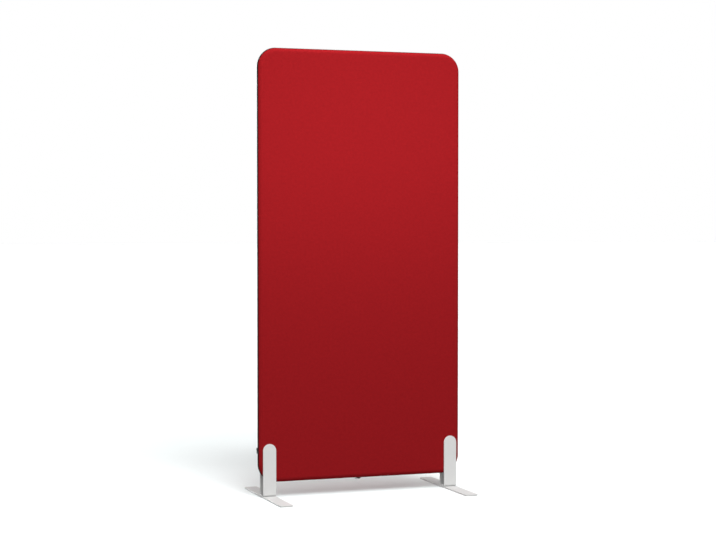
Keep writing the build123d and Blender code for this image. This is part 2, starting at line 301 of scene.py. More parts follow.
@dataclass(frozen=True)
class ZipWebbing(Finish):
    """Black polyester tape, narrow woven with a rib at every cord of its warp.

    The ribs run along the tape and turn the light into fine lines beside the coil, which the
    painted shade in their grooves deepens.

    Attributes:
        tones: the colours in the grooves, darker there as painted shade, and on the ribs.
        rib: the spacing of the ribs.
        pick: the spacing of the picks that cross them.
        pick_height: how high a pick stands, where a rib is one high.
        pick_phase: how far the picks are shifted along, in radians.
        darkest: the share of the ribs' colour that is left in a groove, the rest being painted
            shade.
        depth: the depth of the grooves.
        fuzz: how much light the loose fibres catch.
        gloss: how much the tape reflects.
    """

    tones: tuple[str, str]
    rib: float
    pick: float
    pick_height: float = 0.4
    pick_phase: float = 0.6
    darkest: float = 0.4
    depth: float = 0.12 * MM
    fuzz: float = 0.02
    gloss: float = 0.05

    def surface(self, tree: bpy.types.NodeTree) -> dict[str, object]:
        """Adds the ribs along the tape and the finer picks across it, with painted shade in the
        grooves between them.

        Args:
            tree: the material's node tree.
        Returns:
            The shader's inputs.
        """
        cloth = add_node(tree, "UVMap", uv_map=CLOTH_MAP)
        ribs = add_node(tree, "TexWave", {
            "Vector": cloth, "Scale": wave_scale(self.rib)}, bands_direction="Y")
        picks = add_node(tree, "TexWave", {
            "Vector": cloth, "Scale": wave_scale(self.pick), "Phase Offset": self.pick_phase},
            bands_direction="X")
        height = add_node(tree, "Math", {
            0: picks.outputs["Fac"], 1: self.pick_height, 2: ribs.outputs["Fac"]},
            operation="MULTIPLY_ADD")
        # The colour follows the height, so the grooves between ribs and picks are drawn darker:
        # painted shade.
        tone = add_node(tree, "MapRange", {
            "Value": height, "From Max": 1 + self.pick_height, "To Min": self.darkest})
        return two_tone(tree, tone, self.tones, height, self.depth) | {
            "Sheen Weight": self.fuzz, "Specular IOR Level": self.gloss}


@dataclass(frozen=True)
class EvenColour(Finish):
    """One colour, which a slight unevenness makes a little darker and lighter.

    Attributes:
        colour: the colour.
        uneven: the size of the unevenness.
        gloss: how much the surface reflects.
        depth: the depth of the relief, or zero for none.
        drift: the least and the most that the colour is multiplied by.
    """

    colour: str
    uneven: float
    gloss: float
    depth: float = 0.0
    drift: tuple[float, float] = (0.75, 1.15)

    def surface(self, tree: bpy.types.NodeTree) -> dict[str, object]:
        """Adds the unevenness to the colour and the relief.

        Args:
            tree: the material's node tree.
        Returns:
            The shader's inputs.
        """
        place = add_node(tree, "TexCoord").outputs["Object"]
        uneven = add_node(tree, "TexNoise", {
            "Vector": place, "Scale": 1 / self.uneven, "Detail": 2.0})
        tone = add_node(tree, "MapRange", {
            "Value": uneven, "To Min": self.drift[0], "To Max": self.drift[1]})
        drifting = add_node(tree, "VectorMath", {
            0: linear(self.colour)[:3], "Scale": tone}, operation="SCALE")
        inputs = {"Base Color": drifting, "Specular IOR Level": self.gloss}
        if self.depth:
            inputs["Normal"] = add_node(tree, "Bump", {
                "Height": uneven, "Distance": self.depth})
        return inputs


@dataclass(frozen=True)
class StovedLacquer(Finish):
    """Black lacquer, stoved onto die-cast zinc.

    It is smooth and thin, so the corners of the casting shine, and it is rubbed to a slightly
    paler black where a hand pulls it.

    Attributes:
        tones: the lacquer as it was stoved, and where it is rubbed.
        grain: the grain of the casting under it.
        depth: how deep that grain is.
        rubbed: the size of a rubbed place.
        levels: the strength of the rubbing at which each tone is pure.
        swing: what the roughness gains where the grain is low and where it is high.
        gloss: how much the lacquer reflects.
    """

    tones: tuple[str, str]
    grain: float
    depth: float
    rubbed: float
    levels: tuple[float, float] = (0.5, 0.75)
    swing: tuple[float, float] = (-0.08, 0.12)
    gloss: float = 0.3

    def surface(self, tree: bpy.types.NodeTree) -> dict[str, object]:
        """Adds the cast grain under the lacquer and the rubbed places.

        Args:
            tree: the material's node tree.
        Returns:
            The shader's inputs.
        """
        place = add_node(tree, "TexCoord").outputs["Object"]
        cast = add_node(tree, "TexNoise", {
            "Vector": place, "Scale": 1 / self.grain, "Detail": 3.0})
        rubbing = add_node(tree, "TexNoise", {
            "Vector": place, "Scale": 1 / self.rubbed})
        share = add_node(tree, "MapRange", {
            "Value": rubbing, "From Min": self.levels[0], "From Max": self.levels[1]})
        roughness = add_node(tree, "MapRange", {
            "Value": cast, "To Min": self.roughness + self.swing[0],
            "To Max": self.roughness + self.swing[1]})
        return two_tone(tree, share, self.tones, cast, self.depth) | {
            "Roughness": roughness, "Specular IOR Level": self.gloss}


@dataclass(frozen=True)
class Mottled(Finish):
    """Two tones, which patches mix, with the patches' own relief or a finer one.

    Attributes:
        tones: the colours where the patches are low and where they are high.
        patch: the size of a patch.
        detail: how many finer sizes the patches hold.
        raggedness: how strong these are.
        levels: the heights of the patches at which each tone is pure, or None to mix the tones
            by the patches as they are.
        swing: what the roughness gains where they are low and where they are high, or None.
        dimple: the size of a finer relief, or zero where the patches make the relief.
        depth: the depth of the relief, or zero on a smooth surface.
        fuzz: how much light loose fibres catch.
        metallic: one for bare metal, and zero for anything else.
    """

    tones: tuple[str, str]
    patch: float
    detail: float
    raggedness: float = 0.5
    levels: tuple[float, float] | None = None
    swing: tuple[float, float] | None = None
    dimple: float = 0.0
    depth: float = 0.0
    fuzz: float = 0.0
    metallic: float = 0.0

    def surface(self, tree: bpy.types.NodeTree) -> dict[str, object]:
        """Adds the patches to the colour and the roughness, and the relief.

        Args:
            tree: the material's node tree.
        Returns:
            The shader's inputs.
        """
        place = add_node(tree, "TexCoord").outputs["Object"]
        patches = add_node(tree, "TexNoise", {
            "Vector": place, "Scale": 1 / self.patch, "Detail": self.detail,
            "Roughness": self.raggedness})
        share = patches
        if self.levels:
            share = add_node(tree, "MapRange", {
                "Value": patches, "From Min": self.levels[0], "From Max": self.levels[1]})
        height = patches if self.depth else None
        if self.dimple:
            height = add_node(tree, "TexNoise", {
                "Vector": place, "Scale": 1 / self.dimple, "Detail": 1.0})
        inputs = two_tone(tree, share, self.tones, height, self.depth) | {
            "Sheen Weight": self.fuzz, "Metallic": self.metallic}
        if self.swing:
            inputs["Roughness"] = add_node(tree, "MapRange", {
                "Value": patches, "To Min": self.roughness + self.swing[0],
                "To Max": self.roughness + self.swing[1]})
        return inputs


@dataclass(frozen=True)
class PlanedTimber(Finish):
    """Kiln-dried timber, planed on four sides and left raw.

    The late wood of each year shows as a darker line along the piece.

    Attributes:
        tones: the early wood and the late wood.
        ring: the spacing of the year rings.
        grain: the way that they run.
        waver: how far a ring wavers from a straight line.
        pore: the size of the pores, in spacings of the rings.
        depth: how far the late wood stands out.
    """

    tones: tuple[str, str]
    ring: float
    grain: Grain
    waver: float = 6.0
    pore: float = 0.25
    depth: float = 0.06 * MM

    def surface(self, tree: bpy.types.NodeTree) -> dict[str, object]:
        """Adds the year rings, drawn out along the grain, and the pores between them.

        Args:
            tree: the material's node tree.
        Returns:
            The shader's inputs.
        """
        place = add_node(tree, "TexCoord").outputs["Object"]
        drawn = add_node(tree, "Mapping", {"Vector": place, "Scale": self.grain.value})
        rings = add_node(tree, "TexWave", {
            "Vector": drawn, "Scale": wave_scale(self.ring), "Distortion": self.waver,
            "Detail": 2.0, "Detail Scale": 0.6}, bands_direction="Y", wave_profile="SAW")
        pores = add_node(tree, "TexNoise", {
            "Vector": drawn, "Scale": 1 / (self.pore * self.ring), "Detail": 4.0})
        share = add_node(tree, "Math", {
            0: rings.outputs["Fac"], 1: pores}, operation="MULTIPLY")
        return two_tone(tree, share, self.tones, share, self.depth)


# Piece-dyed polyester: the real yarns stand about 0.9 mm apart. They are drawn at twice that,
# which is as fine as a close render still shows.
RED_CLOTH = WovenCloth(
    name="red_woven_polyester_cloth", slot="cover_fabric", roughness=0.65,
    tones=("#751216", "#8B181C"), yarn=1.8 * MM, mottle=9.0 * MM, crown=0.25 * MM, fuzz=0.1,
    fuzz_tint="#CE5A56", fuzz_spread=0.3, gloss=0.0)
BLACK_TAPE = ZipWebbing(
    name="black_narrow_woven_polyester", slot="zip_tape", roughness=0.8,
    tones=("#000000", "#0F1012"), rib=1.0 * MM, pick=0.7 * MM)

# Drawn polyester: a monofilament has a low gloss along each turn of the coil, and the spun
# threads of the seams, with their fine uneven twist, have almost none.
BLACK_COIL = EvenColour(
    name="black_drawn_polyester_coil", slot="zip_coil", roughness=0.42, colour="#0A0B0C",
    uneven=2.0 * MM, gloss=0.15, depth=0.01 * MM)
RED_THREAD = EvenColour(
    name="red_spun_polyester_thread", slot="cover_fabric", roughness=0.8, colour="#9E1E23",
    uneven=0.4 * MM, gloss=0.1, depth=0.05 * MM)
BLACK_THREAD = replace(
    RED_THREAD, name="black_spun_polyester_thread", slot="zip_tape", roughness=0.7,
    colour="#121315", gloss=0.15)
BLACK_LACQUER = StovedLacquer(
    name="black_stoved_lacquer_on_zinc", slot="zip_metal", roughness=0.32,
    tones=("#0B0C0D", "#17191B"), grain=0.5 * MM, depth=0.02 * MM, rubbed=2.5 * MM)

# White polyester powder, sprayed onto mild steel and baked: the melt leaves an orange peel of
# shallow dimples, which softens every highlight and keeps the flat faces of the feet from
# looking like paper. The tone changes slowly, where the powder lies thinner.
WHITE_POWDER = Mottled(
    name="white_powder_coated_steel", slot="white_steel", roughness=0.42,
    tones=("#C1C1C0", "#C6C6C5"), patch=36.667 * MM, detail=2.0, swing=(-0.06, 0.06),
    dimple=2.2 * MM, depth=0.03 * MM)

# Bright zinc, electroplated onto steel: a cool grey metal with small cloudy patches.
BRIGHT_ZINC = Mottled(
    name="bright_zinc_plated_steel", slot="zinc_steel", roughness=0.32,
    tones=("#A9AFB6", "#C9CDD1"), patch=2.0 * MM, detail=4.0, swing=(0.1, -0.1), metallic=1.0)

# Grey rubber, moulded with a matt skin that picks up a little dust.
GREY_RUBBER = Mottled(
    name="grey_moulded_rubber", slot="pad_rubber", roughness=0.85,
    tones=("#3B3C3E", "#5A5A58"), patch=1.2 * MM, detail=4.0, depth=0.05 * MM)

# Spruce is a pale yellow wood with strong brown lines. Beech is redder, and its rings are so
# fine and so close in tone that it looks nearly even.
UPRIGHT_SPRUCE = PlanedTimber(
    name="planed_spruce_upright", slot="frame_wood", roughness=0.6,
    tones=("#DDBE8C", "#A9763F"), ring=3.0 * MM, grain=Grain.UPRIGHT)
LEVEL_SPRUCE = replace(UPRIGHT_SPRUCE, name="planed_spruce_level", grain=Grain.LEVEL)
TURNED_BEECH = PlanedTimber(
    name="turned_beech", slot="dowel_wood", roughness=0.55, tones=("#D9B48A", "#B98B5E"),
    ring=1.2 * MM, grain=Grain.LEVEL)

# Polyester fibre, needled into a felt or bonded into a fleece: the fibres lie every way, so
# the surface is dull, mottled and slightly hairy.
GREY_FELT = Mottled(
    name="grey_needled_polyester_felt", slot="core_felt", roughness=0.95,
    tones=("#5F6266", "#9A9C9E"), patch=6.0 * MM, detail=6.0, raggedness=0.7,
    levels=(0.35, 0.65), depth=0.5 * MM, fuzz=0.3)
WHITE_FLEECE = replace(
    GREY_FELT, name="white_bonded_polyester_fleece", slot="wadding_fleece",
    tones=("#CFCDC6", "#EDECE8"), patch=9.0 * MM, depth=0.6 * MM)

# A studio floor, painted matt white with a roller. The white is a faintly cool one, which
# takes back the red that the cloth throws into the shadow under the panel.
WHITE_FLOOR = EvenColour(
    name="matt_white_painted_floor", slot="", roughness=0.9, colour="#ECF1F1",
    uneven=400.0 * MM, gloss=0.0, drift=(0.99, 1.01))


@dataclass
class Shape:
    """A surface of quads, with the place of each point on the flat cloth or strip.

    Attributes:
        points: the points, one row of three each.
        faces: the quads, one row of four point numbers each.
        flat: the places on the flat, one row of two each, in metres.
    """

    points: np.ndarray
    faces: np.ndarray
    flat: np.ndarray


def quads(index: np.ndarray, closed: bool = False) -> np.ndarray:
    """The quads between the neighbours in a grid of point numbers.

    A quad goes from a point to the next row, then to the next column, and back.

    Args:
        index: the point numbers, in rows and columns.
        closed: whether the last column joins the first.
    Returns:
        One row of four point numbers for each quad.
    """
    if closed:
        index = np.concatenate([index, index[:, :1]], axis=1)
    corners = (index[:-1, :-1], index[1:, :-1], index[1:, 1:], index[:-1, 1:])
    return np.stack(corners, axis=-1).reshape(-1, 4)


def end_cap(ring: np.ndarray) -> np.ndarray:
    """Quads that close a ring of an even count of points, pairing its two long sides.

    Args:
        ring: the ring's point numbers, in order.
    Returns:
        One row of four point numbers for each quad.
    """
    low = np.arange(len(ring) // 2 - 1)
    corners = (ring[low], ring[low + 1], ring[len(ring) - 2 - low], ring[len(ring) - 1 - low])
    return np.stack(corners, axis=-1)


def tube_faces(rings: int, sides: int) -> np.ndarray:
    """The quads of a closed tube whose points are numbered ring by ring.

    Args:
        rings: how many rings it has.
        sides: how many points each ring has.
    Returns:
        One row of four point numbers for each quad, with a cap at each end.
    """
    index = np.arange(rings * sides).reshape(rings, sides)
    return np.concatenate([quads(index, closed=True), end_cap(index[0]), end_cap(index[-1][::-1])])


def bend(radius: float, start: float, end: float, rows: int, reach: float = 0.0,
         level: float = 0.0, run: float = 0.0) -> np.ndarray:
    """A round stretch of an edge profile, as rows of reach, level and run.

    At an angle t from straight up, the reach is its centre's plus the radius times sin t, the
    level is its centre's plus the radius times cos t, and the run grows by the arc's length.

    Args:
        radius: the radius of the arc.
        start: the angle at its first row.
        end: the angle at its last row.
        rows: how many rows of quads lie along it.
        reach: the reach of its centre.
        level: the level of its centre.
        run: the run at its first row.
    Returns:
        The rows, one more than there are rows of quads.
    """
    turn = np.linspace(start, end, rows + 1)
    return np.column_stack([reach + radius * np.sin(turn), level + radius * np.cos(turn),
                            run + radius * (turn - start)])


def make_piece(name: str, shape: Shape, finish: Finish, *replaced: str,
               wall: float = 0.0) -> bpy.types.Object:
    """Makes a piece from a shape, gives it its finish and lets it ride on the screen's body.

    Args:
        name: the piece's name.
        shape: its surface.
        finish: what it is made of.
        *replaced: the frame's nodes that it stands for.
        wall: a thickness to add inwards, or zero for none.
    Returns:
        The finished piece.
    """
    mesh = bpy.data.meshes.new(name)
    mesh.from_pydata(shape.points.tolist(), [], shape.faces.tolist())
    layer = mesh.uv_layers.new(name=CLOTH_MAP)
    corners = np.zeros(len(mesh.loops), np.int32)
    mesh.loops.foreach_get("vertex_index", corners)
    layer.data.foreach_set("uv", shape.flat[corners].astype(np.float32).ravel())
    mesh.polygons.foreach_set("use_smooth", np.ones(len(mesh.polygons), bool))
    mesh.materials.append(material_of(finish))
    mesh.update()
    piece = bpy.data.objects.new(name, mesh)
    bpy.context.scene.collection.objects.link(piece)
    if wall:
        skin = piece.modifiers.new("wall", "SOLIDIFY")
        skin.thickness = wall
        skin.offset = -1.0
        skin.use_even_offset = True
    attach(piece, SCREEN)
    if replaced:
        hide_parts(*replaced)
    log.info("%s: %d faces, %s", name, len(mesh.polygons), finish.name)
    return piece


def dress_node(name: str, finish: Finish) -> None:
    """Gives a node of the frame its finish, and leaves its mesh as it is.

    Args:
        name: the node's name.
        finish: what it is made of.
    """
    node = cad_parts[name]
    node.data.materials.clear()
    node.data.materials.append(material_of(finish))
    log.info("%s: kept from the frame, %s", name, finish.name)


@dataclass(frozen=True)
class RoundedField:
    """A flat rounded rectangle, as a grid whose rim is one smooth ring.

    Attributes:
        half_width: from the middle to the side.
        half_height: from the middle to the top.
        corner: the radius of its corners.
        step: the spacing of the grid's lines along the straight stretches.
        corner_steps: how many lines cross each corner.
    """

    half_width: float
    half_height: float
    corner: float
    step: float
    corner_steps: int

    def _lines(self, half: float) -> np.ndarray:
        """Places the grid's lines along one axis.

        They lie evenly on the straight stretch, about a step apart, and evenly past its ends.

        Args:
            half: from the middle to the side along that axis.
        Returns:
            The places, from side to side.
        """
        straight = half - self.corner
        middle = np.linspace(-straight, straight, round(2 * straight / self.step) + 1)
        past = np.linspace(0, self.corner, self.corner_steps + 1)[1:]
        return np.concatenate([-straight - past[::-1], middle, straight + past])

    @cached_property
    def _grid(self) -> np.ndarray:
        """The crossings of the grid's lines, before the corners are rounded."""
        lines = (self._lines(self.half_width), self._lines(self.half_height))
        return np.stack(np.meshgrid(*lines, indexing="ij"), -1)

    @cached_property
    def _core(self) -> np.ndarray:
        """Each grid point drawn in to the rectangle that the corners turn about."""
        limit = np.array([self.half_width - self.corner, self.half_height - self.corner])
        return np.clip(self._grid, -limit, limit)

    @cached_property
    def points(self) -> np.ndarray:
        """The grid's points, by column and row.

        A corner square becomes a quarter disc: each coordinate past the core is multiplied by
        the root of one less half the other's square, with the corner radius as the unit.
        """
        past = self._grid - self._core
        return self._core + past * np.sqrt(1 - past[..., ::-1] ** 2 / (2 * self.corner**2))

    @cached_property
    def index(self) -> np.ndarray:
        """The number of each grid point."""
        count = self.points.shape[:2]
        return np.arange(count[0] * count[1]).reshape(count)

    @cached_property
    def rim(self) -> np.ndarray:
        """The numbers of the points along the rim, once round."""
        index = self.index
        return np.concatenate([index[:, 0], index[-1, 1:], index[-2::-1, -1], index[0, -2:0:-1]])

    @cached_property
    def outward(self) -> np.ndarray:
        """The outward direction at the rim: a point less its core's, over the corner radius."""
        flat, core = self.points.reshape(-1, 2), self._core.reshape(-1, 2)
        return (flat[self.rim] - core[self.rim]) / self.corner

    def spread(self, margin: float) -> tuple[float, float]:
        """The width and height of the field with a margin all round, laid flat."""
        return 2 * (self.half_width + margin), 2 * (self.half_height + margin)

    def slab(self, profile: np.ndarray, backed: bool = False) -> Shape:
        """Carries an edge profile round the field, and joins it to the field's face.

        A point of the slab is a rim point plus its outward direction times the profile's
        reach, at the profile's level. The face lies at the profile's first level, and a back
        at its last one.

        Args:
            profile: rows of reach, level and run. The run is the length along the profile.
            backed: whether a second face closes the slab.
        Returns:
            The shape, with X and Y in the field and Z as the level.
        """
        field = self.points.reshape(-1, 2)
        reach, level, run = profile[1:-1 if backed else None].T[:, :, None, None]
        rings = field[self.rim] + self.outward * reach
        rings = np.concatenate([rings, np.broadcast_to(level, rings.shape[:2] + (1,))], -1)
        flat = field[self.rim] + self.outward * run
        count = len(self.rim)
        first = field.shape[0] + np.arange(len(rings) * count).reshape(len(rings), count)
        strips = np.concatenate([self.rim[None], first])
        points = [np.column_stack([field, np.full(len(field), profile[0, 1])]),
                  rings.reshape(-1, 3)]
        places = [field, flat.reshape(-1, 2)]
        faces = [quads(self.index)]
        if backed:
            back = first.size + field.shape[0]
            points.append(np.column_stack([field, np.full(len(field), profile[-1, 1])]))
            places.append(field)
            faces.append(quads(self.index)[:, ::-1] + back)
            strips = np.concatenate([strips, self.rim[None] + back])
        faces.append(quads(strips, closed=True))
        return Shape(np.concatenate(points), np.concatenate(faces), np.concatenate(places))


class Knots(NamedTuple):
    """Where the straight runs and the corners of an outline start.

    Attributes:
        runs: how far along the outline each one starts.
        centre_x: where the outline's turning centre is then, along X.
        centre_z: how high that centre is.
        angle: the direction outward from it, in radians from +X towards +Z.
    """

    runs: np.ndarray
    centre_x: np.ndarray
    centre_z: np.ndarray
    angle: np.ndarray


@dataclass(frozen=True)
class EdgeLine:
    """The panel's outline over the zip, from the middle of the bottom edge towards +X.

    Attributes:
        half_width: from the middle to the side.
        low: the height of the bottom edge.
        high: the height of the top edge.
        radius: the radius of the corners.
    """

    half_width: float
    low: float
    high: float
    radius: float

    @cached_property
    def _knots(self) -> Knots:
        """Works out the knots.

        Returns:
            The knots, from the middle of the bottom edge once round.
        """
        x = self.half_width - self.radius
        low, high = self.low + self.radius, self.high - self.radius
        quarter = QUARTER_TURN * self.radius
        upright = high - low
        runs = np.cumsum([0, x, quarter, upright, quarter, 2 * x, quarter, upright, quarter, x])
        centre_x = np.array([0, x, x, x, x, -x, -x, -x, -x, 0])
        centre_z = np.array([low, low, low, high, high, high, high, low, low, low])
        angle = QUARTER_TURN * np.array([-1, -1, 0, 0, 1, 1, 2, 2, 3, 3])
        return Knots(runs, centre_x, centre_z, angle)

    @property
    def length(self) -> float:
        """The length of the outline, once round."""
        return float(self._knots.runs[-1])

    def run_at(self, height: float) -> float:
        """How far along the outline its left side passes a height."""
        return float(self._knots.runs[LEFT_SIDE] + (self.high - self.radius - height))

    def samples(self, start: float, end: float, step: float, corner_step: float) -> np.ndarray:
        """Runs along the outline, wide apart on the sides and close together in corners.

        Args:
            start: the first run.
            end: the last run.
            step: the spacing along the straight sides.
            corner_step: the spacing round the corners.
        Returns:
            The runs, from start to end.
        """
        runs = self._knots.runs
        limits = np.unique(np.concatenate([runs[(runs > start) & (runs < end)], [start, end]]))
        angles = np.interp(limits % self.length, runs, self._knots.angle)
        parts = []
        for i, (near, far) in enumerate(zip(limits[:-1], limits[1:])):
            turning = abs(angles[i + 1] - angles[i]) > SAME_ANGLE
            count = math.ceil((far - near) / (corner_step if turning else step))
            parts.append(np.linspace(near, far, count + 1)[:-1])
        return np.concatenate([*parts, [end]])

    def place(self, along: np.ndarray, outward: np.ndarray, across: np.ndarray) -> np.ndarray:
        """Turns a run, a reach outward and a reach across the edge into points.

        The turning centre and the direction at a run are read off the knots by straight lines.
        A point is the centre, plus the corner radius and the outward reach in that direction.

        Args:
            along: the runs along the outline.
            outward: the reaches outward from it.
            across: the places along Y.
        Returns:
            The points, in an array with a last axis of three.
        """
        runs, centre_x, centre_z, angle = self._knots
        along, outward, across = np.broadcast_arrays(along % self.length, outward, across)
        turn = np.interp(along, runs, angle)
        reach = self.radius + outward
        x = np.interp(along, runs, centre_x) + reach * np.cos(turn)
        z = np.interp(along, runs, centre_z) + reach * np.sin(turn)
        return np.stack([x, across, z], axis=-1)

    def heading(self, along: np.ndarray) -> np.ndarray:
        """The direction in which the outline runs on: a quarter turn past its outward one."""
        turn = np.interp(along % self.length, self._knots.runs, self._knots.angle)
        return np.stack([-np.sin(turn), np.zeros_like(turn), np.cos(turn)], axis=-1)

    def sweep(self, along: np.ndarray, section: np.ndarray) -> Shape:
        """Carries a closed section along the outline.

        The section is rows of outward and across reaches. It goes from the rear to the front
        along its outer side and comes back along its inner side.

        Args:
            along: the runs at which the section is placed.
            section: the section's points.
        Returns:
            The shape, closed at both ends.
        """
        points = self.place(along[:, None], section[None, :, 0], section[None, :, 1])
        steps = np.linalg.norm(np.diff(section, axis=0, prepend=section[:1]), axis=1)
        flat = np.stack(np.broadcast_arrays(along[:, None], np.cumsum(steps)[None]), axis=-1)
        faces = tube_faces(*points.shape[:2])
        return Shape(points.reshape(-1, 3), faces, flat.reshape(-1, 2))


@dataclass(frozen=True)
class Seam:
    """A row of stitches along the outline, each a bead drawn out to its two ends.

    Attributes:
        stitch: the length of a stitch.
        gap: the gap between two stitches.
        place: from the edge of the cloth to the row.
        thread: the diameter of the thread.
        rings: how many rings of points make a stitch.
        sides: how many points make a ring.
        tip: how far before its end the last ring closes the bead, as a share of the length.
        arch: how far its middle stands over its ends, in threads.
        sunk: how far its ends lie under the cloth, in threads.
    """

    stitch: float
    gap: float
    place: float
    thread: float = 0.4 * MM
    rings: int = 6
    sides: int = 4
    tip: float = 0.02
    arch: float = 0.6
    sunk: float = 0.5

    @property
    def pitch(self) -> float:
        """The length that a stitch and its gap take."""
        return self.stitch + self.gap

    def sew(self, line: EdgeLine, starts: np.ndarray, seat: np.ndarray, lean: float) -> Shape:
        """Works out the row.

        At a share s of its length a stitch swells by twice the root of s times one less s. Its
        radius is half the thread times that swell, and its middle line rises with it.

        Args:
            line: the outline that the row follows.
            starts: where each stitch starts, as a run.
            seat: the outward and across reach of the cloth under the row.
            lean: the angle of the cloth's outside from straight outward, towards +Y.
        Returns:
            The shape of the whole row.
        """
        shares = np.linspace(self.tip, 1 - self.tip, self.rings)
        swell = 2 * np.sqrt(shares * (1 - shares))
        around = -FULL_TURN * np.arange(self.sides) / self.sides
        up = np.array([math.cos(lean), math.sin(lean)])
        sideways = np.array([-up[1], up[0]])
        lift = self.thread * (self.arch * swell - self.sunk)
        centre = seat + lift[:, None] * up
        radius = (self.thread / 2 * swell)[:, None, None]
        ring = np.cos(around)[:, None] * up + np.sin(around)[:, None] * sideways
        section = centre[:, None] + radius * ring[None]
        along = starts[:, None, None] + self.stitch * shares[None, :, None]
        points = line.place(along, section[None, ..., 0], section[None, ..., 1])
        first = self.rings * self.sides * np.arange(len(starts))[:, None, None]
        faces = tube_faces(self.rings, self.sides)[None] + first
        flat = np.stack(np.broadcast_arrays(along, np.arange(self.sides) * self.thread), axis=-1)
        return Shape(points.reshape(-1, 3), faces.reshape(-1, 4), flat.reshape(-1, 2))


@dataclass(frozen=True)
class PanelForm:
    """The panel's sizes, as the frame's nodes give them.

    Attributes:
        half_width: from the middle to the side.
        low: the height of the bottom edge.
        high: the height of the top edge.
        half_depth: from the middle plane to a face.
        hem: from the middle plane to the hem of a cover.
        corner: the radius of the outline's corners.
    """

    half_width: float
    low: float
    high: float
    half_depth: float
    hem: float
    corner: float

    @classmethod
    def read(cls) -> "PanelForm":
        """Reads the sizes from the front cover, its coil and the top rail of the frame.

        Returns:
            The panel's sizes.
        """
        cover_low, cover_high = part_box("front_cover")
        coil_low, coil_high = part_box("front_zip_coil")
        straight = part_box("top_rail")[1].x
        return cls(coil_high.x, coil_low.z, coil_high.z, -cover_low.y, -cover_high.y,
                   coil_high.x - straight)

    @property
    def line(self) -> EdgeLine:
        """The outline over the zip."""
        return EdgeLine(self.half_width, self.low, self.high, self.corner)

    @property
    def middle(self) -> float:
        """The height of the panel's middle."""
        return (self.low + self.high) / 2

    def field(self, step: float, corner_steps: int) -> RoundedField:
        """The flat part of a face, up to where its half-round edge starts.

        Args:
            step: the spacing of its grid along the straight stretches.
            corner_steps: how many lines cross each corner.
        Returns:
            The field.
        """
        return RoundedField(
            self.half_width - self.half_depth, (self.high - self.low) / 2 - self.half_depth,
            self.corner - self.half_depth, step, corner_steps)

    def stand(self, points: np.ndarray, side: Side) -> np.ndarray:
        """Stands a shape, drawn lying face up, on its side of the panel.

        Args:
            points: the points, with Z as the level above the middle plane.
            side: the side that the face looks to.
        Returns:
            The points in the frame. The rear is turned round, so its faces still look out.
        """
        across, up, level = points.T
        turn = side.value
        return np.column_stack([-turn * across, turn * level, up + self.middle])


def reach_across(node: str) -> tuple[float, float]:
    """How far a node of the frame lies from the panel's middle plane, at least and at most."""
    low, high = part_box(node)
    return tuple(sorted((abs(low.y), abs(high.y))))


@dataclass
class Cover:
    """One fabric cover: a flat face, wrapped round the edge to a folded hem at the zip.

    Attributes:
        form: the panel's sizes.
        side: the half of the panel that it covers.
        cloth: the thickness of the cloth.
        fold: the radius of the fold at the hem.
        seam: the row of stitches beside the hem.
        step: the spacing of the face's grid.
        corner_steps: how many lines cross each corner.
        round_rows: how many rows of quads go round the half-round edge.
        fold_rows: how many go round the fold of the hem.
    """

    form: PanelForm
    side: Side
    cloth: float = 1.0 * MM
    fold: float = 1.2 * MM
    seam: Seam = Seam(stitch=2.6 * MM, gap=0.8 * MM, place=4.0 * MM)
    step: float = 7.0 * MM
    corner_steps: int = 16
    round_rows: int = 12
    fold_rows: int = 6

    def _profile(self) -> np.ndarray:
        """The edge from the flat face to the hem, as rows of reach, level and run.

        The cloth follows the half-round edge to the angle at which the fold starts, so that
        the fold, a smaller arc tangent inside it, just reaches the hem.

        Returns:
            The rows.
        """
        depth, fold = self.form.half_depth, self.fold
        middle = depth - fold
        start = math.acos((self.form.hem + fold) / middle)
        wrap = bend(depth, 0.0, start, self.round_rows)
        hem = bend(fold, start, math.pi, self.fold_rows, middle * math.sin(start),
                   middle * math.cos(start), depth * start)
        return np.concatenate([wrap, hem[1:]])

    def build(self) -> None:
        """Makes the cover and its stitches."""
        form, profile, word = self.form, self._profile(), self.side.word
        field = form.field(self.step, self.corner_steps)
        shape = field.slab(profile)
        shape.points = form.stand(shape.points, self.side)
        cover = make_piece(f"{word}_fabric_cover", shape, RED_CLOTH, f"{word}_cover",
                           wall=self.cloth)
        run = float(profile[-1, 2])
        width, height = field.spread(run)
        self._sew()

    def _sew(self) -> bpy.types.Object:
        """Makes the row of stitches along the hem.

        Returns:
            The row.
        """
        form, line = self.form, self.form.line
        across = form.hem + self.seam.place
        lean = math.asin(across / form.half_depth)
        seat = np.array([form.half_depth * (math.cos(lean) - 1), across])
        count = round(line.length / self.seam.pitch)
        starts = np.arange(count) * (line.length / count)
        turn = self.side.value
        row = self.seam.sew(line, starts, seat * (1, turn), lean * turn)
        return make_piece(f"{self.side.word}_hem_stitches", row, RED_THREAD)


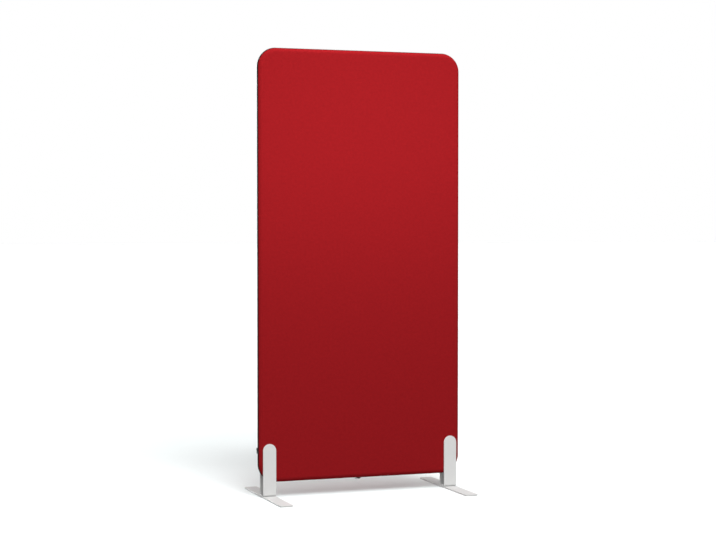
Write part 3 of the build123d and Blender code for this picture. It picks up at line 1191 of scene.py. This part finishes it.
@dataclass
class Padding:
    """What lies under the covers: a fleece on each face and a felt core above and below.

    Attributes:
        form: the panel's sizes.
        fleece: the thickness of the fleece.
        ease: how far the edges of a felt slab are eased.
        core_corner: the radius of a slab's corners.
        step: the spacing of the grids.
        corner_steps: how many lines cross each corner.
        round_rows: how many rows of quads turn with the half-round edge.
        ease_rows: how many rows of quads ease an edge of a slab.
    """

    form: PanelForm
    fleece: float = 3.5 * MM
    ease: float = 2.0 * MM
    core_corner: float = 14.7 * MM
    step: float = 16.0 * MM
    corner_steps: int = 8
    round_rows: int = 8
    ease_rows: int = 3

    def build(self) -> None:
        """Makes both fleeces and both cores."""
        for side in Side:
            self._fleece(side)
        for core in Core:
            self._felt(core)

    def _fleece(self, side: Side) -> None:
        """Makes the fleece on one side: a flat sheet that turns with the half-round edge.

        Args:
            side: the face that it lies on.
        """
        form, name = self.form, f"{side.word}_wadding"
        hem, level = reach_across(name)
        profile = bend(level, 0.0, math.acos(hem / level), self.round_rows)
        field = form.field(self.step, self.corner_steps)
        shape = field.slab(profile)
        shape.points = form.stand(shape.points, side)
        fleece = make_piece(f"{side.word}_fleece", shape, WHITE_FLEECE, name, wall=self.fleece)
        field.spread(float(profile[-1, 2]))

    def _felt(self, core: Core) -> None:
        """Makes a felt slab whose cut edges are slightly eased.

        Its profile goes a quarter circle out, straight down and a quarter circle back in.

        Args:
            core: the core that it makes.
        """
        name = f"{core.value}_core"
        low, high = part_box(name)
        half = (high - low) / 2
        ease = self.ease
        field = RoundedField(half.x - ease, half.z - ease, self.core_corner - ease, self.step,
                             self.corner_steps)
        drop = half.y - ease
        out = bend(ease, 0.0, QUARTER_TURN, self.ease_rows, level=drop)
        back = bend(ease, QUARTER_TURN, math.pi, self.ease_rows, level=-drop,
                    run=QUARTER_TURN * ease + 2 * drop)
        shape = field.slab(np.concatenate([out, back]), backed=True)
        across, up, depth = shape.points.T
        middle = (low + high) / 2
        shape.points = np.column_stack([across + middle.x, -depth + middle.y, up + middle.z])
        slab = make_piece(f"{core.value}_felt_core", shape, GREY_FELT, name)


@dataclass
class Zip:
    """The two-way zip round the edge, and the sewn band that closes the cover under it.

    Attributes:
        form: the panel's sizes.
        tape_thickness: the thickness of the woven tape.
        pitch: the length of coil that one turn takes.
        filament: the diameter of the coil's filament.
        turn_steps: how many points make one turn.
        filament_sides: how many sides the filament has.
        squareness: the power that squares the turns off. One leaves them round.
        head_reach: how far the heads of the turns reach past the middle.
        filler_room: the room left round the filler cord, where the filament's radius is one.
        cord_sides: how many sides that cord has.
        step: the spacing of the tape's sections along the sides.
        corner_step: their spacing round the corners.
        tape_rows: how many rows of quads turn with the half-round edge.
        seam: the rows of stitches along the band's two edges.
        band_gap: between the tapes and the band.
        band_thickness: the thickness of the band.
        band_ease: the radius of the band's edges.
        ease_rows: how many rows of quads go round such an edge.
    """

    form: PanelForm
    tape_thickness: float = 0.6 * MM
    pitch: float = 2.1 * MM
    filament: float = 1.05 * MM
    turn_steps: int = 8
    filament_sides: int = 6
    squareness: float = 0.7
    head_reach: float = 0.7 * MM
    filler_room: float = 0.9
    cord_sides: int = 10
    step: float = 12.0 * MM
    corner_step: float = 4.0 * MM
    tape_rows: int = 5
    seam: Seam = Seam(stitch=2.4 * MM, gap=1.0 * MM, place=1.5 * MM)
    band_gap: float = 0.15 * MM
    band_thickness: float = 1.2 * MM
    band_ease: float = 0.4 * MM
    ease_rows: int = 3

    def build(self) -> None:
        """Makes both tapes, both coils and the seam band, and finishes the metal."""
        for side in Side:
            self._tape(side)
            self._coil(side)
        self._band()
        for node in ("zip_stops", "left_zip_slider", "left_pull_tab", "bottom_zip_slider",
                     "bottom_pull_tab"):
            dress_node(node, BLACK_LACQUER)

    @property
    def _tape_level(self) -> float:
        """How deep the flat stretch of the tapes lies below the outline."""
        return self.form.half_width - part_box("front_zip_tape")[1].x

    def _tape(self, side: Side) -> None:
        """Makes one tape: flat beside the coil, then round the edge under the hem.

        Args:
            side: the half of the zip that it belongs to.
        """
        name = f"{side.word}_zip_tape"
        form, line = self.form, self.form.line
        near, far = reach_across(name)
        outer = math.hypot(form.hem, form.half_depth - self._tape_level)
        outside, inside = (self._tape_face(outer - depth, self._tape_level + depth, near, far)
                           for depth in (0.0, self.tape_thickness))
        section = np.concatenate([outside, inside[::-1]])
        section[:, 1] *= side.value
        if side is Side.FRONT:
            section = section[::-1]
        along = line.samples(0, line.length, self.step, self.corner_step)
        tape = make_piece(f"{name}_woven", line.sweep(along, section), BLACK_TAPE, name)

    def _tape_face(self, radius: float, level: float, near: float, far: float) -> np.ndarray:
        """One face of a tape's section, from its edge under the cover to its edge at the coil.

        Args:
            radius: the radius of the face where it turns with the half-round edge.
            level: how deep its flat stretch lies below the outline.
            near: where the tape starts beside the coil, across the edge.
            far: where it ends under the cover.
        Returns:
            Rows of outward and across reach.
        """
        start, end = math.asin(far / radius), math.asin(self.form.hem / radius)
        turned = bend(radius, start, end, self.tape_rows, level=-self.form.half_depth)
        return np.concatenate([turned[:, [1, 0]], [[-level, near]]])

    def _coil(self, side: Side) -> None:
        """Makes one half of the teeth: a filament wound in flat turns along the tape.

        With t as the angle of winding, the filament's middle lies across the edge by a half
        width times cos t and outward by a half height times sin t, each drawn towards its
        limits by the power of its squareness, while it moves along by a pitch each turn. The
        two halves are half a pitch apart, so that their heads lie in each other's gaps. Each
        is wound on a filler cord, an ellipse in section, that the turns hold flat.

        Args:
            side: the half of the zip that it belongs to.
        """
        name = f"{side.word}_zip_coil"
        line, radius = self.form.line, self.filament / 2
        floor, top = radius - self._tape_level, -radius
        head, heel = radius - self.head_reach, reach_across(name)[1] - radius
        centre = np.array([top + floor, side.value * (heel + head)]) / 2
        half = np.array([top - floor, heel - head]) / 2
        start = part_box("bottom_zip_slider")[0].x
        end = line.run_at(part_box("left_zip_slider")[0].z)
        turns = int((end - start) / self.pitch)
        phase = 0.5 if side is Side.REAR else 0.0
        step = np.arange(turns * self.turn_steps + 1) / self.turn_steps
        angle = FULL_TURN * step
        swing, rise = (np.sign(wave) * np.abs(wave) ** self.squareness
                       for wave in (np.cos(angle), np.sin(angle)))
        along = start + self.pitch * (step + phase * (1 - step / turns))
        shape = self._filament(along, centre[0] + half[0] * rise,
                               centre[1] + side.value * half[1] * swing)
        make_piece(f"{name}_wound", shape, BLACK_COIL, name)
        turn = FULL_TURN * np.arange(self.cord_sides) / self.cord_sides
        cord = (half - self.filler_room * radius) * np.column_stack([np.sin(turn), np.cos(turn)])
        strand = line.samples(start, end, self.step, self.corner_step)
        make_piece(f"{name}_filler_cord", line.sweep(strand, centre + cord), BLACK_THREAD)

    def _filament(self, along: np.ndarray, outward: np.ndarray, across: np.ndarray) -> Shape:
        """Carries the filament's ring of points along its winding middle line.

        A ring lies along two directions at right angles to the filament's way: one is square to
        the outline's heading too, and the other is square to the first.

        Args:
            along: the runs of the middle line's points.
            outward: their reaches outward from the outline.
            across: their places along Y.
        Returns:
            The shape, closed at both ends.
        """
        line, radius = self.form.line, self.filament / 2
        middle = line.place(along, outward, across)
        ahead = np.gradient(middle, axis=0)
        ahead /= np.linalg.norm(ahead, axis=1, keepdims=True)
        aside = np.cross(ahead, line.heading(along))
        aside /= np.linalg.norm(aside, axis=1, keepdims=True)
        third = np.cross(ahead, aside)
        around = -FULL_TURN * np.arange(self.filament_sides) / self.filament_sides
        ring = (np.cos(around)[None, :, None] * aside[:, None]
                + np.sin(around)[None, :, None] * third[:, None])
        points = middle[:, None] + radius * ring
        flat = np.stack(np.broadcast_arrays(along[:, None], around * radius), axis=-1)
        return Shape(points.reshape(-1, 3), tube_faces(*points.shape[:2]), flat.reshape(-1, 2))

    def _band(self) -> None:
        """Makes the woven band over both tapes at the lower left corner, and its stitches.

        Its section is a flat strip whose two outer edges are eased by quarter circles.
        """
        line = self.form.line
        low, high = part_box("zip_seam_band")
        half, ease = high.y, self.band_ease
        start, end = line.run_at(high.z), line.length + high.x
        bottom = -self._tape_level + self.band_gap
        top = bottom + self.band_thickness
        edge = bend(ease, QUARTER_TURN, 0.0, self.ease_rows, half - ease, top - ease)[:, [1, 0]]
        outside = np.concatenate([[[bottom, half]], edge, edge[::-1] * (1, -1),
                                  [[bottom, -half]]])
        rungs = np.linspace(-half, half, self.ease_rows + 1)[1:-1]
        inside = np.column_stack([np.full_like(rungs, bottom), rungs])
        along = line.samples(start, end, self.step, self.corner_step)
        shape = line.sweep(along, np.concatenate([outside, inside]))
        band = make_piece("seam_band_woven", shape, BLACK_TAPE, "zip_seam_band")
        pitch = self.seam.pitch
        starts = np.arange(start + pitch, end - pitch, pitch)
        for side in Side:
            seat = np.array([top, side.value * (half - self.seam.place)])
            row = self.seam.sew(line, starts, seat, lean=0.0)
            make_piece(f"seam_band_stitches_{side.word}", row, BLACK_THREAD)


@dataclass
class Carcass:
    """The timber carcass that the padding wraps. Its pieces stay the frame's own solids.

    Attributes:
        upright: the pieces whose grain runs up.
        level: the pieces whose grain runs along X.
    """

    upright: tuple[str, ...] = ("left_stile", "right_stile")
    level: tuple[str, ...] = (
        "top_rail", "middle_rail", "bottom_rail", "top_left_corner_block",
        "top_right_corner_block", "bottom_left_corner_block", "bottom_right_corner_block")

    def build(self) -> None:
        """Gives each timber piece its grain, and the threaded inserts their zinc."""
        for name in self.upright:
            dress_node(name, UPRIGHT_SPRUCE)
        for name in self.level:
            dress_node(name, LEVEL_SPRUCE)
        dress_node("frame_dowels", TURNED_BEECH)
        dress_node("threaded_inserts", BRIGHT_ZINC)


@dataclass
class Feet:
    """The two steel feet with their screws and pads, which stay the frame's own solids.

    Attributes:
        ends: the two ends of the panel, as the nodes' names have them.
    """

    ends: tuple[str, ...] = ("left", "right")

    def build(self) -> None:
        """Gives the brackets and plates their powder, and finishes the screws and pads."""
        for end in self.ends:
            dress_node(f"{end}_bracket", WHITE_POWDER)
            dress_node(f"{end}_foot_plate", WHITE_POWDER)
            dress_node(f"{end}_floor_pads", GREY_RUBBER)
        dress_node("bracket_screws", BRIGHT_ZINC)
        dress_node("foot_plate_screws", BRIGHT_ZINC)


def back_from(azimuth: float, elevation: float) -> Vector:
    """The direction from the screen towards a camera or a light.

    Args:
        azimuth: the way round the screen, in degrees from the front towards +X.
        elevation: the angle above the horizon, in degrees.
    Returns:
        The direction, one long.
    """
    turn, lift = math.radians(azimuth), math.radians(elevation)
    level = math.cos(lift)
    return Vector((math.sin(turn) * level, -math.cos(turn) * level, math.sin(lift)))


def set_up(data: bpy.types.ID, place: Vector, gaze: Vector) -> bpy.types.Object:
    """Puts a lamp or a camera in the studio and turns it the way that it looks.

    Args:
        data: the lamp or the camera.
        place: where it stands.
        gaze: the direction in which it looks.
    Returns:
        Its object.
    """
    holder = bpy.data.objects.new(data.name, data)
    holder.location = place
    holder.rotation_euler = gaze.to_track_quat("-Z", "Y").to_euler()
    bpy.context.scene.collection.objects.link(holder)
    return holder


@dataclass(frozen=True)
class Softbox:
    """A rectangular studio lamp that looks at a point.

    Attributes:
        name: the lamp's name.
        place: where it hangs.
        target: the point that it looks at.
        size: its width and height.
        power: in watts.
    """

    name: str
    place: tuple[float, float, float]
    target: tuple[float, float, float]
    size: tuple[float, float]
    power: float

    def build(self) -> None:
        """Hangs the lamp."""
        lamp = bpy.data.lights.new(self.name, "AREA")
        lamp.shape = "RECTANGLE"
        lamp.size, lamp.size_y = self.size
        lamp.energy = self.power
        place = Vector(self.place)
        holder = set_up(lamp, place, Vector(self.target) - place)
        holder.visible_camera = False


@dataclass(frozen=True)
class Skylight:
    """A large even light, so far off that it falls alike on everything.

    Attributes:
        name: the light's name.
        azimuth: the side that it comes from, in degrees from the front towards +X.
        elevation: its height above the horizon, in degrees.
        spread: how wide it is seen, in degrees. A wide light gives soft shadows.
        strength: what falls on a surface that faces it, in watts a square metre.
    """

    name: str
    azimuth: float
    elevation: float
    spread: float
    strength: float

    def build(self) -> None:
        """Sets up the light."""
        light = bpy.data.lights.new(self.name, "SUN")
        light.energy = self.strength
        light.angle = math.radians(self.spread)
        set_up(light, Vector(), -back_from(self.azimuth, self.elevation))


@dataclass
class Studio:
    """The pale floor, the lamps, the light of the room and the camera.

    The room's walls are lit white all round, and its ceiling is dimmer, so that the light on
    the screen falls off from the lamps above it down to the floor. The floor looks white, but
    throws back only part of its light: the panel's lower edge is left darker, as if black
    flags lay on the floor outside the picture.

    Attributes:
        floor_reach: from the middle of the floor to its sides.
        floor_lines: how many lines of points it has each way.
        walls: the brightness of the walls, where one is white.
        ceiling: the brightness of the ceiling.
        wall_top: the elevation up to which the walls are evenly lit, in degrees.
        ceiling_edge: the elevation from which the ceiling starts, in degrees.
        thrown_back: the light that comes up from the floor, where one is white.
        floor_edge: how far under the horizon the light of the walls has faded to that.
        azimuth: the camera's way round the screen, in degrees from the front towards +X.
        elevation: its angle above the horizon, in degrees.
        distance: from the camera to the point that it looks at.
        aim: that point.
        focal: the focal length in pixels of a picture as wide as picture_width.
        picture_width: the width of the picture in pixels.
        sensor: the width of the camera's sensor, in millimetres.
        lamps: the lamps and far lights.
    """

    floor_reach: float = 60.0
    floor_lines: int = 25
    walls: float = 1.0
    ceiling: float = 0.15
    wall_top: float = 10.0
    ceiling_edge: float = 18.0
    thrown_back: float = 0.4
    floor_edge: float = 4.0
    azimuth: float = -19.95
    elevation: float = 1.723
    distance: float = 6.409
    aim: tuple[float, float, float] = (-0.00671, 0.0, 0.83652)
    focal: float = 1709.8
    picture_width: float = 716.0
    sensor: float = 36.0
    lamps: tuple[Softbox | Skylight, ...] = (
        Softbox("upper_strip", (0.0, -0.9, 2.1), (0.0, 0.0, 1.3), (1.8, 0.4), power=11.0),
        Softbox("middle_strip", (0.0, -0.7, 1.3), (0.0, 0.0, 1.1), (1.8, 0.4), power=5.0),
        Softbox("rim_strip", (0.0, 0.02, 1.95), (0.0, 0.0, 1.6), (0.9, 0.15), power=1.5),
        Skylight("front_light", 1.0, 45.0, spread=32.0, strength=2.1),
        Skylight("overhead_light", 3.0, 85.0, spread=30.0, strength=1.5),
        Skylight("left_light", -75.0, 15.0, spread=30.0, strength=0.5),
        Skylight("back_light", 180.0, 7.0, spread=20.0, strength=1.8),
    )

    def camera(self) -> None:
        """Sets up the camera at the photograph's place and angle."""
        lens = bpy.data.cameras.new("camera")
        lens.sensor_width = self.sensor
        lens.lens = self.focal / self.picture_width * self.sensor
        lens.clip_end = 2 * self.floor_reach
        back = back_from(self.azimuth, self.elevation)
        bpy.context.scene.camera = set_up(lens, Vector(self.aim) + self.distance * back, -back)

    def _floor(self) -> None:
        """Lays the floor: a level grid with the origin in its middle."""
        lines = np.linspace(-self.floor_reach, self.floor_reach, self.floor_lines)
        x, y = np.meshgrid(lines, lines, indexing="ij")
        points = np.stack([x, y, np.zeros_like(x)], -1).reshape(-1, 3)
        mesh = bpy.data.meshes.new("studio_floor")
        mesh.from_pydata(points.tolist(), [], quads(np.arange(x.size).reshape(x.shape)).tolist())
        mesh.update()
        floor = bpy.data.objects.new("studio_floor", mesh)
        bpy.context.scene.collection.objects.link(floor)
        floor.data.materials.append(material_of(WHITE_FLOOR))
        floor.visible_diffuse = False

    def _room(self) -> None:
        """Sets the room's walls and ceiling as the light from far away."""
        room = bpy.data.worlds.new("white_room")
        room.use_nodes = True
        tree = room.node_tree
        tree.nodes.clear()
        way = add_node(tree, "TexCoord")
        parts = add_node(tree, "SeparateXYZ", {0: way.outputs["Object"]})
        glow = add_node(tree, "MapRange", {
            "Value": parts.outputs["Z"], "From Min": math.sin(math.radians(self.wall_top)),
            "From Max": math.sin(math.radians(self.ceiling_edge)), "To Min": self.walls,
            "To Max": self.ceiling}, interpolation_type="SMOOTHSTEP")
        share = add_node(tree, "MapRange", {
            "Value": parts.outputs["Z"], "From Min": -math.sin(math.radians(self.floor_edge)),
            "From Max": -math.sin(math.radians(self.floor_edge / 2)),
            "To Min": self.thrown_back})
        strength = add_node(tree, "Math", {0: glow, 1: share}, operation="MULTIPLY")
        light = add_node(tree, "Background", {
            "Color": linear("#FFFFFF"), "Strength": strength})
        add_node(tree, "OutputWorld", {"Surface": light})
        bpy.context.scene.world = room

    def build(self) -> None:
        """Lays the floor and lights it."""
        self._floor()
        for lamp in self.lamps:
            lamp.build()
        self._room()
        bpy.context.scene.view_settings.view_transform = "Standard"


def main() -> None:
    """Builds the camera, the screen's sub-assemblies and the studio, in that order."""
    logging.basicConfig(level=logging.INFO, format="%(name)s: %(message)s")
    studio = Studio()
    studio.camera()
    form = PanelForm.read()
    Padding(form).build()
    for side in Side:
        Cover(form, side).build()
    Zip(form).build()
    Carcass().build()
    Feet().build()
    studio.build()


if __name__ == "__main__":
    main()
